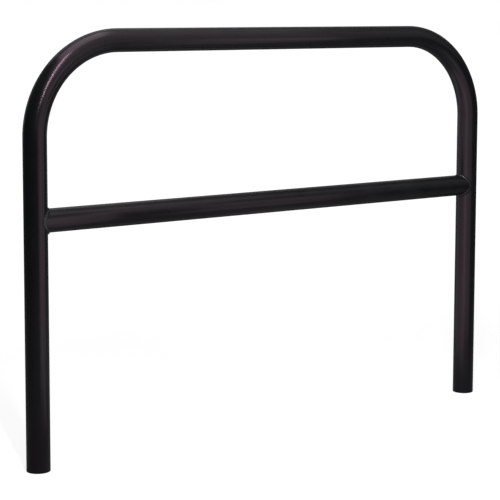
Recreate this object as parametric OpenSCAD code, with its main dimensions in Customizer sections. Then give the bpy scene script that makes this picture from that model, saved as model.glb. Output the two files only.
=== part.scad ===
// Hoop barrier: one steel tube bent into an arch with two legs, and a mid rail of
// the same tube, coped over the insides of the legs and welded all round.
// The legs are plain cut tubes that are set into the ground.
// X runs along the barrier from the left leg to the right, Y from front to back,
// Z up. The origin is the centre of the left leg's cut end.

/* [Tube] */
// Outside diameter of the tube that the hoop and the rail are made of
tube_d = 60.3; // [42.4:0.1:76.1]
// Wall thickness of the tube
tube_wall = 3; // [2:0.1:5]

/* [Hoop] */
// Distance between the axes of the two legs
leg_spacing = 1440; // [800:1:2400]
// Height of the top run's axis above the cut ends of the legs
top_axis_h = 1070; // [960:1:1500]
// Radius of the two bends, measured to the tube's axis
bend_r = 236; // [150:1:270]

/* [Mid rail] */
// Height of the rail's axis above the cut ends of the legs
rail_axis_h = 628; // [300:1:640]
// How much wider than the tube the cutter is that copes the rail's ends
cope_over = 3.7; // [1:0.1:6]
// Gap left between a coped end and its leg, at the root of the weld
root_gap = 0.3; // [0.1:0.1:1]

/* [Welds] */
// Reach of the fillet weld along each of the two tubes
weld_reach = 5; // [3:0.5:8]
// How far the middle of the weld bulges beyond a flat fillet
weld_bulge = 1.2; // [0.4:0.1:2]

/* [Hidden] */

$fn = 96;
tube_r = tube_d / 2;
bore_d = tube_d - 2 * tube_wall;
bend_z = top_axis_h - bend_r;
top_run = leg_spacing - 2 * bend_r;
past = 2;

// Axis of the coping cutter, which just clears the leg's inner side
cope_r = (tube_d + cope_over) / 2;
cope_x = tube_r + root_gap - cope_r;

// The weld lies this far off both tubes, so that its facets cut into neither
weld_seat = 0.05;
weld_r = tube_r + weld_seat;
weld_steps = 96;
face_steps = 4;

black = [0.09, 0.09, 0.09];

// The hoop's run filled to one diameter, with the legs carried on below the feet
module hoop_run(d, below = 0) {
    for (x = [0, leg_spacing])
        translate([x, 0, -below]) cylinder(d = d, h = bend_z + below);
    for (end = [[bend_r, 90], [leg_spacing - bend_r, 0]])
        translate([end[0], 0, bend_z]) rotate([90, 0, 0])
            rotate_extrude(angle = 90, start = end[1])
                translate([bend_r, 0]) circle(d = d);
    translate([bend_r, 0, top_axis_h]) rotate([0, 90, 0])
        cylinder(d = d, h = top_run);
}

// A bar of one diameter along the rail's axis, running past both leg axes
module rail_run(d, over = 0) {
    translate([-over, 0, rail_axis_h]) rotate([0, 90, 0])
        cylinder(d = d, h = leg_spacing + 2 * over);
}

// Legs, bends and top run: one tube
module hoop() color(black)
    difference() {
        hoop_run(tube_d);
        hoop_run(bore_d, below = past);
    }

// Straight tube with both ends coped to saddle the legs
module mid_rail() color(black)
    difference() {
        rail_run(tube_d);
        rail_run(bore_d, over = past);
        for (x = [cope_x, leg_spacing - cope_x])
            translate([x, 0, rail_axis_h - tube_r - past])
                cylinder(r = cope_r, h = tube_d + 2 * past);
    }

// Where the rail's outer edge lies at angle a round the rail, 90 being its top
function cope_edge(a) =
    [cope_x + sqrt(pow(cope_r, 2) - pow(tube_r * cos(a), 2)),
     weld_r * cos(a), weld_r * sin(a)];

// The same edge on the leg's surface rolled out flat: distance round, then height
function flat_edge(a) =
    let (e = cope_edge(a))
    [weld_r * atan2(e[1], e[0]) * PI / 180, e[2]];

// Direction at right angles to that edge and away from the rail, in the flat
function flat_out(a) =
    let (t = flat_edge(a + 1) - flat_edge(a - 1))
    [t[1], -t[0]] / norm(t);

// A point of the flat pattern laid back round the leg
function on_leg(p) =
    let (b = p[0] / weld_r * 180 / PI)
    [weld_r * cos(b), weld_r * sin(b), p[1]];

// One section of the bead: up the leg, over its face, and back along the rail
function bead_section(a) =
    let (
        edge = cope_edge(a),
        root = flat_edge(a),
        out = flat_out(a),
        leg_toe = on_leg(root + weld_reach * out),
        rail_toe = edge + [weld_reach, 0, 0],
        up = [leg_toe[0], leg_toe[1], 0] / weld_r + [0, cos(a), sin(a)],
        face = [for (k = [0:face_steps])
            let (f = k / face_steps)
            leg_toe + f * (rail_toe - leg_toe)
                + up / norm(up) * weld_bulge * sin(180 * f)]
    )
    concat([on_leg(root), on_leg(root + weld_reach / 2 * out)], face, [edge]);

// Weld bead round the saddle, for a leg on the Z axis and a rail towards +X
module saddle_weld() {
    rings = [for (i = [0:weld_steps - 1]) bead_section(360 * i / weld_steps)];
    n = len(rings[0]);
    polyhedron(
        points = [for (ring = rings) each ring],
        faces = [for (i = [0:weld_steps - 1], j = [0:n - 1])
            let (
                i2 = (i + 1) % weld_steps,
                j2 = (j + 1) % n,
                a = i * n + j, b = i * n + j2, c = i2 * n + j2, d = i2 * n + j
            )
            each [[a, b, c], [a, c, d]]]
    );
}

module left_weld() color(black)
    translate([0, 0, rail_axis_h]) saddle_weld();

module right_weld() color(black)
    translate([leg_spacing, 0, rail_axis_h]) mirror([1, 0, 0]) saddle_weld();

hoop();
mid_rail();
left_weld();
right_weld();
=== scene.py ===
"""Hoop barrier: a bent steel tube with a welded mid rail, in satin black powder coat.

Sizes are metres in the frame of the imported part: X along the barrier from the left
leg, Y from front to back, Z up from the cut ends of the legs.
"""
import math

import bpy
from mathutils import Euler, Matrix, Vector, noise


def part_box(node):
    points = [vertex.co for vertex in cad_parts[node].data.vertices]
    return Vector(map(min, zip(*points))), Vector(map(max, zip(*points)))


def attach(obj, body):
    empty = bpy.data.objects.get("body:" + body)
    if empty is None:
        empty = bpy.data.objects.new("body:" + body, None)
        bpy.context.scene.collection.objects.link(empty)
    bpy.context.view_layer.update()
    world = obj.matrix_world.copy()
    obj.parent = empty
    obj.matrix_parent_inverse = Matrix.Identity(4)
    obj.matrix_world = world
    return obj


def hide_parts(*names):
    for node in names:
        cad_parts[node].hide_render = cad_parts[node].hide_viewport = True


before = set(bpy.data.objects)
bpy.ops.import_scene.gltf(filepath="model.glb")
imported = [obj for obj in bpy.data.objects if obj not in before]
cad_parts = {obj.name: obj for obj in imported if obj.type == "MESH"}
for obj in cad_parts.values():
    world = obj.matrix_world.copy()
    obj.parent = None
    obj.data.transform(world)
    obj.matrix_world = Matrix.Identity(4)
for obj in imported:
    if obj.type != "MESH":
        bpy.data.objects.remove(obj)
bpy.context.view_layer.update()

# Sizes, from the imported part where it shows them

HOOP_LOW, HOOP_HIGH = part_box("hoop")
RAIL_LOW, RAIL_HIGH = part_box("mid_rail")

TUBE_R = -HOOP_LOW.x
WALL = 0.003
BORE_R = TUBE_R - WALL
LEG_SPACING = HOOP_HIGH.x - TUBE_R
TOP_AXIS_H = HOOP_HIGH.z - TUBE_R
BEND_R = 0.236
BEND_Z = TOP_AXIS_H - BEND_R
TOP_RUN = LEG_SPACING - 2 * BEND_R
RAIL_AXIS_H = (RAIL_LOW.z + RAIL_HIGH.z) / 2

COPE_R = 0.032
ROOT_GAP = 0.0003
COPE_X = TUBE_R + ROOT_GAP - COPE_R

WELD_REACH = 0.005
WELD_BULGE = 0.0009                 # before the ripples, which vary it
WELD_SEAT = 0.00005
RIPPLES = 45
RIPPLE_DRIFT = 0.35
REACH_SHARES = (0.93, 0.07)         # of the reach: between ripples, and what a ripple adds
BULGE_SHARES = (0.45, 0.7, 0.15)    # of the bulge: between ripples, a ripple, its drift

EDGE_ROUND = 0.0005
EDGE_STEPS = 4
HOLD = 0.0012       # rings of points this far from a cut end keep the shading flat
SEAM_HEIGHT = 0.0006
SEAM_AT = 72        # the tube's inner seam faces the front, where bending is neutral

AROUND = 96
LEG_STEPS, BEND_STEPS, TOP_STEPS = 14, 40, 16
RAIL_STEPS = 24
BEAD_ROUNDS = 720
BEAD_STEPS = 10

# Camera, as the photo was taken

LENS = 114.49
CAMERA_PLACE = Vector((-1.8248, -3.4569, 1.1599))
CAMERA_TURN = 0.6208
CAMERA_TILT = -0.1068
CAMERA_ROLL = 0.0026
CAMERA_SHIFT_Y = -0.15
SENSOR_WIDTH = 36
NEAR_LIMIT, FAR_LIMIT = 0.1, 100


def add_camera():
    """The photo's camera, as fitted to the edges of the tube."""
    data = bpy.data.cameras.new("camera")
    data.lens = LENS
    data.sensor_width = SENSOR_WIDTH
    data.shift_y = CAMERA_SHIFT_Y
    data.clip_start, data.clip_end = NEAR_LIMIT, FAR_LIMIT
    camera = bpy.data.objects.new("camera", data)
    camera.location = CAMERA_PLACE
    turn = Euler((0, 0, -CAMERA_TURN)).to_matrix()
    tilt = Euler((math.pi / 2 + CAMERA_TILT, 0, 0)).to_matrix()
    roll = Euler((0, 0, CAMERA_ROLL)).to_matrix()
    camera.rotation_euler = (turn @ tilt @ roll).to_euler()
    bpy.context.scene.collection.objects.link(camera)
    bpy.context.scene.camera = camera


# Meshes

def make_object(name, points, faces, materials, face_slots=None):
    """A smooth shaded mesh object from lists of points and faces."""
    mesh = bpy.data.meshes.new(name)
    mesh.from_pydata(points, [], faces)
    for material in materials:
        mesh.materials.append(material)
    mesh.polygons.foreach_set("use_smooth", [True] * len(faces))
    if face_slots:
        mesh.polygons.foreach_set("material_index", face_slots)
    mesh.validate()
    mesh.update()
    obj = bpy.data.objects.new(name, mesh)
    bpy.context.scene.collection.objects.link(obj)
    return obj


def ring_faces(rings, around, turned=False):
    """Quads between each ring of points and the next, the last joined to the first.
    Turned is for rings whose points run the way round that would face the quads inward."""
    faces = []
    for i in range(rings):
        j = (i + 1) % rings
        for k in range(around):
            m = (k + 1) % around
            faces.append((i * around + k, i * around + m, j * around + m, j * around + k))
    return [face[::-1] for face in faces] if turned else faces


def rounded_lip():
    """Steps over a cut end of the tube wall, outside to inside: (depth, radius)."""
    quarter = [math.pi / 2 * k / EDGE_STEPS for k in range(EDGE_STEPS + 1)]
    outer = [(EDGE_ROUND * (1 - math.sin(a)), TUBE_R - EDGE_ROUND * (1 - math.cos(a)))
             for a in quarter]
    inner = [(EDGE_ROUND * (1 - math.cos(a)), BORE_R + EDGE_ROUND * (1 - math.sin(a)))
             for a in quarter]
    return outer + inner


def bore_slots(rings, bore_from, bore_to):
    """Material slot of each face of a tube's wall: 1 between those rings, else 0."""
    return [1 if bore_from <= ring < bore_to else 0
            for ring in range(rings) for k in range(AROUND)]


def hoop_length():
    """Length of the hoop's axis from foot to foot."""
    return 2 * BEND_Z + math.pi * BEND_R + TOP_RUN


def hoop_place(s):
    """Point on the hoop's axis at distance s from the left foot, and its outward way."""
    bend = math.pi / 2 * BEND_R
    if s <= BEND_Z:
        return Vector((0, 0, s)), Vector((-1, 0, 0))
    s -= BEND_Z
    if s <= bend:
        a = s / BEND_R
        out = Vector((-math.cos(a), 0, math.sin(a)))
        return Vector((BEND_R, 0, BEND_Z)) + BEND_R * out, out
    s -= bend
    if s <= TOP_RUN:
        return Vector((BEND_R + s, 0, TOP_AXIS_H)), Vector((0, 0, 1))
    s -= TOP_RUN
    if s <= bend:
        a = s / BEND_R
        out = Vector((math.sin(a), 0, math.cos(a)))
        return Vector((LEG_SPACING - BEND_R, 0, BEND_Z)) + BEND_R * out, out
    s -= bend
    return Vector((LEG_SPACING, 0, BEND_Z - s)), Vector((1, 0, 0))


def hoop_stations():
    """Distances along the hoop: long steps on the straights, short ones in the bends."""
    bend = math.pi / 2 * BEND_R
    starts = [0, BEND_Z, BEND_Z + bend, BEND_Z + bend + TOP_RUN,
              BEND_Z + 2 * bend + TOP_RUN, hoop_length()]
    steps = [LEG_STEPS, BEND_STEPS, TOP_STEPS, BEND_STEPS, LEG_STEPS]
    inside = [start + (end - start) * k / count
              for start, end, count in zip(starts, starts[1:], steps)
              for k in range(count)]
    return [HOLD] + inside[1:] + [hoop_length() - HOLD]


def make_hoop(coat, bore):
    """The bent tube as one closed wall, with softened cut ends.
    Its rings run over the right foot's lip, through the bore, and back outside."""
    length = hoop_length()
    lip = rounded_lip()
    along = hoop_stations()
    trip = [(length - depth, radius) for depth, radius in lip]
    trip += [(s, BORE_R) for s in reversed(along)]
    trip += reversed(lip)
    trip += [(s, TUBE_R) for s in along]
    points = []
    for s, radius in trip:
        centre, out = hoop_place(min(max(s, 0), length))
        for k in range(AROUND):
            a = 2 * math.pi * k / AROUND
            on_seam = radius == BORE_R and k == SEAM_AT
            reach = radius - SEAM_HEIGHT if on_seam else radius
            way = math.cos(a) * out + math.sin(a) * Vector((0, 1, 0))
            points.append(centre + reach * way)
    faces = ring_faces(len(trip), AROUND, turned=True)
    bore_from = len(lip) - 1
    slots = bore_slots(len(trip), bore_from, bore_from + len(along) + 1)
    return make_object("hoop_tube", points, faces, [coat, bore], slots)


def cope_reach(a, radius):
    """How far the coped end lies from the leg's axis, at angle a round the rail."""
    return COPE_X + math.sqrt(COPE_R ** 2 - (radius * math.cos(a)) ** 2)


def make_rail(coat, bore):
    """The mid rail as one closed wall between its two coped ends.
    Its rings run along the outside and back through the bore."""
    hold = HOLD / LEG_SPACING
    inside = [k / RAIL_STEPS for k in range(1, RAIL_STEPS)]
    shares = [0, hold] + inside + [1 - hold, 1]
    trip = [(share, TUBE_R) for share in shares]
    trip += [(share, BORE_R) for share in reversed(shares)]
    points = []
    for share, radius in trip:
        for k in range(AROUND):
            a = 2 * math.pi * k / AROUND
            reach = cope_reach(a, radius)
            x = reach + (LEG_SPACING - 2 * reach) * share
            y, z = radius * math.cos(a), radius * math.sin(a)
            points.append(Vector((x, y, RAIL_AXIS_H + z)))
    faces = ring_faces(len(trip), AROUND)
    slots = bore_slots(len(trip), len(shares), len(trip) - 1)
    return make_object("mid_rail_tube", points, faces, [coat, bore], slots)


def flat_edge(a):
    """The coped edge on the leg's surface rolled out flat: (distance round, height)."""
    radius = TUBE_R + WELD_SEAT
    return Vector((radius * math.atan2(radius * math.cos(a), cope_reach(a, TUBE_R)),
                   radius * math.sin(a)))


def on_leg(flat):
    """A point of the flat pattern laid back round the leg."""
    radius = TUBE_R + WELD_SEAT
    b = flat.x / radius
    return Vector((radius * math.cos(b), radius * math.sin(b), flat.y))


def bead_section(a, reach, bulge):
    """Points across the weld at angle a: leg toe to rail toe, then back through the root."""
    radius = TUBE_R + WELD_SEAT
    root = flat_edge(a)
    little = 0.01
    way = flat_edge(a + little) - flat_edge(a - little)
    out = Vector((way.y, -way.x)).normalized()
    leg_toe = on_leg(root + reach * out)
    edge = Vector((cope_reach(a, TUBE_R), radius * math.cos(a), radius * math.sin(a)))
    rail_toe = edge + Vector((reach, 0, 0))
    up = (Vector((leg_toe.x, leg_toe.y, 0)) / radius
          + Vector((0, math.cos(a), math.sin(a)))).normalized()
    face = []
    for k in range(BEAD_STEPS + 1):
        f = k / BEAD_STEPS
        face.append(leg_toe.lerp(rail_toe, f) + up * bulge * math.sin(math.pi * f))
    return face + [edge, on_leg(root), on_leg(root + reach / 2 * out)]


def make_weld(name, material, mirrored, seed):
    """A fillet bead round the saddle, laid in overlapping ripples."""
    points = []
    for i in range(BEAD_ROUNDS):
        a = 2 * math.pi * i / BEAD_ROUNDS
        drift = noise.noise(Vector((3 * math.cos(a), 3 * math.sin(a), seed)))
        phase = (i / BEAD_ROUNDS * RIPPLES + RIPPLE_DRIFT * drift) % 1
        ripple = math.sqrt(max(0, 1 - (2 * phase - 1) ** 2))
        low, rise = REACH_SHARES
        reach = WELD_REACH * (low + rise * ripple)
        low, rise, sway = BULGE_SHARES
        bulge = WELD_BULGE * (low + rise * ripple + sway * drift)
        for p in bead_section(a, reach, bulge):
            x = LEG_SPACING - p.x if mirrored else p.x
            points.append(Vector((x, p.y, RAIL_AXIS_H + p.z)))
    around = len(points) // BEAD_ROUNDS
    faces = ring_faces(BEAD_ROUNDS, around, turned=not mirrored)
    return make_object(name, points, faces, [material])


# Materials

COAT_COLOUR = (0.003, 0.0048, 0.0046)
STEEL_COLOUR = (0.16, 0.155, 0.15)
STEEL_METALLIC = 0.8
NOISE_SPAN = (0.3, 0.7)     # most of a noise's values lie between these
GRAIN_SHARE = 0.25          # height of the fine grain, where the peel's is 1
DUST = 0.02
DUST_ROUGHNESS = 0.9
DUSTY_SLOPES = (0.2, 0.95)  # how far up a face looks where dust begins, and is full
DUST_PATCHES = (0.35, 0.65)
THIN_DUST = 0.3
SCUFF_EDGE = (0.42, 0.52)   # noise values between which a scuff begins
SCUFF_ROUGHNESS = 0.5
EDGE_ON = (0.5, 0.95)       # how edge on the coat is seen where it begins to dull, and
                            # where it is dullest
EDGE_DULLING = 0.5


def new_group(name, inputs, outputs):
    """An empty shader node group with named sockets: (tree, input node, output node)."""
    tree = bpy.data.node_groups.new(name, "ShaderNodeTree")
    for label, kind, value in inputs:
        socket = tree.interface.new_socket(label, in_out="INPUT", socket_type=kind)
        socket.default_value = value
    for label, kind in outputs:
        tree.interface.new_socket(label, in_out="OUTPUT", socket_type=kind)
    return tree, tree.nodes.new("NodeGroupInput"), tree.nodes.new("NodeGroupOutput")


def wire(tree, value, socket):
    """Link an output to a socket, or set the socket's own value."""
    if isinstance(value, bpy.types.NodeSocket):
        tree.links.new(value, socket)
    else:
        socket.default_value = value


def calc(tree, operation, *values):
    """Result of a Math node on the given outputs and numbers."""
    step = tree.nodes.new("ShaderNodeMath")
    step.operation = operation
    for value, socket in zip(values, step.inputs):
        wire(tree, value, socket)
    return step.outputs["Value"]


def stretch(tree, value, span, goal=(0, 1)):
    """The value taken from one range to another, held at both ends."""
    step = tree.nodes.new("ShaderNodeMapRange")
    labels = ("Value", "From Min", "From Max", "To Min", "To Max")
    for given, label in zip((value, *span, *goal), labels):
        wire(tree, given, step.inputs[label])
    return step.outputs["Result"]


def blend(tree, mask, first, second, colour=True):
    """First where the mask is 0, second where it is 1."""
    step = tree.nodes.new("ShaderNodeMix")
    step.data_type = "RGBA" if colour else "FLOAT"
    # the node has sockets of each kind under the same names, so they go by number
    a, b, out = (6, 7, 2) if colour else (2, 3, 0)
    wire(tree, mask, step.inputs[0])
    wire(tree, first, step.inputs[a])
    wire(tree, second, step.inputs[b])
    return step.outputs[out]


def speckle(tree, scale, detail):
    """Noise in the object's own metres."""
    place = tree.nodes.new("ShaderNodeTexCoord")
    texture = tree.nodes.new("ShaderNodeTexNoise")
    tree.links.new(place.outputs["Object"], texture.inputs["Vector"])
    wire(tree, scale, texture.inputs["Scale"])
    texture.inputs["Detail"].default_value = detail
    return texture.outputs["Fac"]


def height_of_place(tree):
    """Height above the cut ends of the legs."""
    place = tree.nodes.new("ShaderNodeTexCoord")
    split = tree.nodes.new("ShaderNodeSeparateXYZ")
    tree.links.new(place.outputs["Object"], split.inputs["Vector"])
    return split.outputs["Z"]


def coat_skin_group():
    """Orange peel, fine grain and slow mottling of a baked powder coat."""
    tree, given, result = new_group(
        "coat_skin",
        [("Colour", "NodeSocketColor", (0.005, 0.005, 0.005, 1)),
         ("Roughness", "NodeSocketFloat", 0.3),
         ("Peel Size", "NodeSocketFloat", 320.0),
         ("Grain Size", "NodeSocketFloat", 1600.0),
         ("Mottle Size", "NodeSocketFloat", 14.0)],
        [("Colour", "NodeSocketColor"), ("Roughness", "NodeSocketFloat"),
         ("Height", "NodeSocketFloat")])
    peel = speckle(tree, given.outputs["Peel Size"], 1)
    grain = speckle(tree, given.outputs["Grain Size"], 2)
    mottle = speckle(tree, given.outputs["Mottle Size"], 4)
    shade = tree.nodes.new("ShaderNodeVectorMath")
    shade.operation = "SCALE"
    tree.links.new(given.outputs["Colour"], shade.inputs[0])
    wire(tree, stretch(tree, mottle, NOISE_SPAN, (0.8, 1.2)), shade.inputs["Scale"])
    rough = calc(tree, "ADD", given.outputs["Roughness"],
                 stretch(tree, mottle, NOISE_SPAN, (-0.03, 0.03)))
    height = calc(tree, "ADD", peel, calc(tree, "MULTIPLY", grain, GRAIN_SHARE))
    wire(tree, shade.outputs["Vector"], result.inputs["Colour"])
    wire(tree, rough, result.inputs["Roughness"])
    wire(tree, height, result.inputs["Height"])
    return tree


def settled_dust_group():
    """Thin dust that lies in patches on what faces up."""
    tree, given, result = new_group(
        "settled_dust",
        [("Colour", "NodeSocketColor", (0.005, 0.005, 0.005, 1)),
         ("Roughness", "NodeSocketFloat", 0.3),
         ("Dust Colour", "NodeSocketColor", (0.2, 0.19, 0.18, 1)),
         ("Amount", "NodeSocketFloat", 0.1),
         ("Patch Size", "NodeSocketFloat", 30.0)],
        [("Colour", "NodeSocketColor"), ("Roughness", "NodeSocketFloat")])
    facing = tree.nodes.new("ShaderNodeNewGeometry")
    split = tree.nodes.new("ShaderNodeSeparateXYZ")
    tree.links.new(facing.outputs["Normal"], split.inputs["Vector"])
    up = stretch(tree, split.outputs["Z"], DUSTY_SLOPES)
    patches = stretch(tree, speckle(tree, given.outputs["Patch Size"], 6),
                      DUST_PATCHES, (THIN_DUST, 1))
    mask = calc(tree, "MULTIPLY", calc(tree, "MULTIPLY", up, patches), given.outputs["Amount"])
    wire(tree, blend(tree, mask, given.outputs["Colour"], given.outputs["Dust Colour"]),
         result.inputs["Colour"])
    wire(tree, blend(tree, mask, given.outputs["Roughness"], DUST_ROUGHNESS, colour=False),
         result.inputs["Roughness"])
    return tree


def scuffed_foot_group():
    """Small scuffs through the coat round the cut ends that the barrier is stood on."""
    tree, given, result = new_group(
        "scuffed_foot",
        [("Colour", "NodeSocketColor", (0.005, 0.005, 0.005, 1)),
         ("Roughness", "NodeSocketFloat", 0.3),
         ("Bare Colour", "NodeSocketColor", (0.1, 0.1, 0.1, 1)),
         ("Reach", "NodeSocketFloat", 0.002),
         ("Scuff Size", "NodeSocketFloat", 500.0)],
        [("Colour", "NodeSocketColor"), ("Roughness", "NodeSocketFloat")])
    low = stretch(tree, height_of_place(tree), (0, given.outputs["Reach"]), (1, 0))
    marks = speckle(tree, given.outputs["Scuff Size"], 5)
    mask = stretch(tree, calc(tree, "MULTIPLY", low, marks), SCUFF_EDGE)
    wire(tree, blend(tree, mask, given.outputs["Colour"], given.outputs["Bare Colour"]),
         result.inputs["Colour"])
    wire(tree, blend(tree, mask, given.outputs["Roughness"], SCUFF_ROUGHNESS, colour=False),
         result.inputs["Roughness"])
    return tree


def overspray_group():
    """How far the coat reaches into the tube: 1 at its mouth, ragged, 0 deeper in."""
    tree, given, result = new_group(
        "overspray",
        [("Reach", "NodeSocketFloat", 0.06), ("Patch Size", "NodeSocketFloat", 60.0)],
        [("Mask", "NodeSocketFloat")])
    ragged = calc(tree, "MULTIPLY", speckle(tree, given.outputs["Patch Size"], 5),
                  given.outputs["Reach"])
    height = calc(tree, "SUBTRACT", height_of_place(tree), ragged)
    wire(tree, stretch(tree, height, (0, given.outputs["Reach"]), (1, 0)),
         result.inputs["Mask"])
    return tree


def place_group(tree, group, **values):
    """A copy of a node group in a material, with its own values or links."""
    copy = tree.nodes.new("ShaderNodeGroup")
    copy.node_tree = group
    for label, value in values.items():
        wire(tree, value, copy.inputs[label.replace("_", " ")])
    return copy


def new_material(name):
    """A new material, with its node tree and its main shader."""
    material = bpy.data.materials.new(name)
    material.use_nodes = True
    return material, material.node_tree, material.node_tree.nodes["Principled BSDF"]


def bumped(tree, height, distance, strength):
    """Normal of a surface that the height raises by up to the distance."""
    bump = tree.nodes.new("ShaderNodeBump")
    bump.inputs["Distance"].default_value = distance
    bump.inputs["Strength"].default_value = strength
    wire(tree, height, bump.inputs["Height"])
    return bump.outputs["Normal"]


def softer_edge(tree, roughness):
    """Less gloss where the coat is seen edge on, as its fine grain then hides itself."""
    facing = tree.nodes.new("ShaderNodeLayerWeight")
    facing.inputs["Blend"].default_value = 0.5
    return calc(tree, "ADD", roughness,
                stretch(tree, facing.outputs["Facing"], EDGE_ON, (0, EDGE_DULLING)))


def coat_material(name, groups, roughness, peel_size, peel_height, shine, tint):
    """Satin black powder coat on steel."""
    material, tree, shader = new_material(name)
    skin = place_group(tree, groups["skin"], Colour=(*COAT_COLOUR, 1), Roughness=roughness,
                       Peel_Size=peel_size)
    dusty = place_group(tree, groups["dust"], Colour=skin.outputs["Colour"],
                        Roughness=skin.outputs["Roughness"], Amount=DUST)
    foot = place_group(tree, groups["foot"], Colour=dusty.outputs["Colour"],
                       Roughness=dusty.outputs["Roughness"])
    wire(tree, foot.outputs["Colour"], shader.inputs["Base Color"])
    wire(tree, softer_edge(tree, foot.outputs["Roughness"]), shader.inputs["Roughness"])
    wire(tree, bumped(tree, skin.outputs["Height"], peel_height, strength=0.35),
         shader.inputs["Normal"])
    shader.inputs["Specular IOR Level"].default_value = shine
    shader.inputs["Specular Tint"].default_value = (*tint, 1)
    return material


def bore_material(groups):
    """Inside of the tube: black overspray near the mouth, then plain mill steel."""
    material, tree, shader = new_material("tube_bore")
    skin = place_group(tree, groups["skin"], Colour=(*STEEL_COLOUR, 1), Roughness=0.55,
                       Peel_Size=220.0, Mottle_Size=40.0)
    spray = place_group(tree, groups["overspray"])
    mask = spray.outputs["Mask"]
    foot = place_group(tree, groups["foot"],
                       Colour=blend(tree, mask, skin.outputs["Colour"], (*COAT_COLOUR, 1)),
                       Roughness=skin.outputs["Roughness"])
    wire(tree, foot.outputs["Colour"], shader.inputs["Base Color"])
    wire(tree, foot.outputs["Roughness"], shader.inputs["Roughness"])
    wire(tree, stretch(tree, mask, (0, 1), (STEEL_METALLIC, 0)), shader.inputs["Metallic"])
    wire(tree, bumped(tree, skin.outputs["Height"], distance=0.0004, strength=0.4),
         shader.inputs["Normal"])
    return material


# Stage and light

FLOOR_SIZE = 80
FLOOR_SHADE = 0.3
FLOOR_ROUGHNESS = 0.9
FLOOR_GLOW = 0.8            # near the barrier, where the lamps light the floor as well
GLOW_RISE = (1.2, 3.6)      # distances between which the glow rises from that to 1
MIRRORED_FLOOR = (3, 6)     # distances between which it turns white for mirrored rays
WORLD_FILL = 0.085
CEILING = 0.45
CEILING_WAY = (0.2, -0.6, 0.8)
CEILING_CONE = (0.5, 0.9)   # cosines from its way between which its light rises to full
BACKDROP_WAY = (0.58, 0.81, 0)
BACKDROP_CONE = (0.75, 0.92)

# Soft boxes for the tubes to mirror: name, place, aim, width, height, and brightness,
# where 1 is as bright as the white background
LAMPS = (
    ("between_facing_right", (1.0, -0.54, 0.55), (2, -0.54, 0.55), 0.9, 1.1, 1.1),
    ("between_facing_left", (0.35, -0.6, 0.43), (-1, -0.6, 0.43), 0.7, 0.84, 0.68),
    ("front_of_left", (0.3, -0.9, 0.55), (0.3, 0, 0.55), 0.6, 1.1, 1.0),
    ("front_of_right", (1.34, -0.9, 0.55), (1.34, 0, 0.55), 0.62, 1.1, 0.9),
    ("top_front_left", (0.5, -0.25, 1.25), (0.5, 0, 1.25), 1.2, 0.58, 0.57),
    ("top_front_right", (1.4, -0.25, 1.28), (1.4, 0, 1.28), 0.6, 0.5, 0.25),
    ("over_left", (0.1, -0.1, 1.9), (0.1, 0, 1.07), 0.8, 0.8, 3.1),
    ("over_right", (1.0, -0.1, 1.9), (1.0, 0, 1.07), 1.0, 0.8, 0.5),
    ("behind_facing_right", (1.0, 0.5, 0.55), (2, 0.5, 0.55), 0.8, 1.1, 0.7),
    ("between_under_rail", (1.0, 0, 0.304), (2, 0, 0.304), 0.18, 0.568, 0.9),
    ("between_over_rail", (1.0, 0, 0.84), (2, 0, 0.84), 0.18, 0.34, 0.9),
    ("above_rail_front", (0.62, -0.44, 0.95), (0.62, -0.44, 0), 0.5, 0.38, 0.55),
    ("back_wall", (0.72, 2.4, 1.2), (0.72, 0, 0.7), 3.4, 1.2, 0.5),
    ("back_ceiling", (0.72, 1.5, 2.7), (0.72, 0, 0.9), 2.6, 1.0, 0.6),
    ("key", (-0.79, -2.28, 2.79), (0.03, 0, 0.98), 0.11, 2.4, 88),
)


def seen_rays(tree, behind):
    """1 for the rays that show the background: all those from the camera or through clear
    matter, and mirrored ones where they meet what lies behind the barrier."""
    path = tree.nodes.new("ShaderNodeLightPath")
    mirrored = calc(tree, "MULTIPLY", path.outputs["Is Glossy Ray"], behind)
    seen = calc(tree, "MAXIMUM", path.outputs["Is Camera Ray"], mirrored)
    return calc(tree, "MAXIMUM", seen, path.outputs["Is Transmission Ray"])


def place_in(tree, output, offset=(0, 0, 0)):
    """The texture coordinate of that name, less an offset."""
    place = tree.nodes.new("ShaderNodeTexCoord")
    moved = tree.nodes.new("ShaderNodeVectorMath")
    moved.operation = "SUBTRACT"
    moved.inputs[1].default_value = offset
    tree.links.new(place.outputs[output], moved.inputs[0])
    return moved.outputs["Vector"]


def toward(tree, vector, way):
    """Cosine of the angle between a vector and a fixed way."""
    unit = tree.nodes.new("ShaderNodeVectorMath")
    unit.operation = "NORMALIZE"
    tree.links.new(vector, unit.inputs[0])
    product = tree.nodes.new("ShaderNodeVectorMath")
    product.operation = "DOT_PRODUCT"
    tree.links.new(unit.outputs["Vector"], product.inputs[0])
    product.inputs[1].default_value = Vector(way).normalized()
    return product.outputs["Value"]


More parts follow.
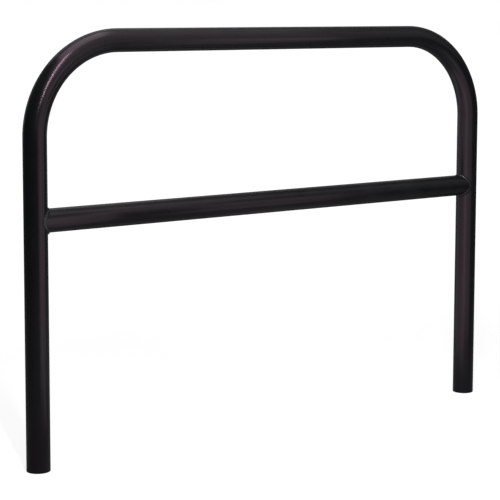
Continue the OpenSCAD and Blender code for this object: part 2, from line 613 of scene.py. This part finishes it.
def add_floor():
    """Pale floor that shows as the white background and keeps the barrier's shadow.
    It is clear from below, so that the cut ends of the legs can be looked at."""
    material, tree, shader = new_material("pale_floor")
    shader.inputs["Base Color"].default_value = (*[FLOOR_SHADE] * 3, 1)
    shader.inputs["Roughness"].default_value = FLOOR_ROUGHNESS
    shader.inputs["Specular IOR Level"].default_value = 0
    shader.inputs["Emission Color"].default_value = (1, 1, 1, 1)
    middle = place_in(tree, "Object", (LEG_SPACING / 2, 0, 0))
    distance = tree.nodes.new("ShaderNodeVectorMath")
    distance.operation = "LENGTH"
    tree.links.new(middle, distance.inputs[0])
    away = distance.outputs["Value"]
    behind = calc(tree, "MULTIPLY",
                  stretch(tree, toward(tree, middle, BACKDROP_WAY), BACKDROP_CONE),
                  stretch(tree, away, MIRRORED_FLOOR))
    glow = stretch(tree, away, GLOW_RISE, (FLOOR_GLOW, 1))
    glow = calc(tree, "MULTIPLY", seen_rays(tree, behind), glow)
    wire(tree, glow, shader.inputs["Emission Strength"])
    side = tree.nodes.new("ShaderNodeNewGeometry")
    wire(tree, calc(tree, "SUBTRACT", 1, side.outputs["Backfacing"]), shader.inputs["Alpha"])
    half = FLOOR_SIZE / 2
    points = [(-half, -half, 0), (half, -half, 0), (half, half, 0), (-half, half, 0)]
    make_object("floor", points, [(0, 1, 2, 3)], [material])


def add_world():
    """A studio with a bright ceiling in front, dim walls and a white backdrop behind."""
    world = bpy.data.worlds.new("studio")
    bpy.context.scene.world = world
    world.use_nodes = True
    tree = world.node_tree
    backdrop = tree.nodes["Background"]
    backdrop.inputs["Color"].default_value = (1, 1, 1, 1)
    way = place_in(tree, "Generated")
    behind = stretch(tree, toward(tree, way, BACKDROP_WAY), BACKDROP_CONE)
    ceiling = stretch(tree, toward(tree, way, CEILING_WAY), CEILING_CONE,
                      (WORLD_FILL, CEILING))
    level = blend(tree, seen_rays(tree, behind), ceiling, 1.0, colour=False)
    wire(tree, level, backdrop.inputs["Strength"])


def add_lamp(name, place, aim, width, height, brightness):
    """A soft box that the camera doesn't see."""
    data = bpy.data.lights.new(name, "AREA")
    data.shape = "RECTANGLE"
    data.size, data.size_y = width, height
    data.energy = math.pi * width * height * brightness
    lamp = bpy.data.objects.new(name, data)
    lamp.location = place
    lamp.rotation_euler = (Vector(aim) - Vector(place)).to_track_quat("-Z", "Y").to_euler()
    lamp.visible_camera = False
    bpy.context.scene.collection.objects.link(lamp)


# The barrier

def build():
    """The four pieces of the barrier, each in place of its CAD node."""
    groups = {"skin": coat_skin_group(), "dust": settled_dust_group(),
              "foot": scuffed_foot_group(), "overspray": overspray_group()}
    coat = coat_material("black_coat", groups, roughness=0.24, peel_size=650.0,
                         peel_height=0.00004, shine=0.26, tint=(1.0, 0.66, 0.86))
    weld_coat = coat_material("black_coat_on_weld", groups, roughness=0.15, peel_size=900.0,
                              peel_height=0.00008, shine=0.36, tint=(1.0, 0.88, 0.96))
    bore = bore_material(groups)

    hoop = make_hoop(coat, bore)
    rail = make_rail(coat, bore)
    left = make_weld("left_weld_bead", weld_coat, mirrored=False, seed=1.7)
    right = make_weld("right_weld_bead", weld_coat, mirrored=True, seed=8.3)
    for piece, node, slot in ((hoop, "hoop", "coated_tube"), (rail, "mid_rail", "coated_tube"),
                              (left, "left_weld", "coated_weld"),
                              (right, "right_weld", "coated_weld")):
        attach(piece, "root")
        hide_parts(node)


bpy.context.scene.view_settings.view_transform = "Standard"
build()
add_floor()
add_world()
add_camera()
for lamp in LAMPS:
    add_lamp(*lamp)
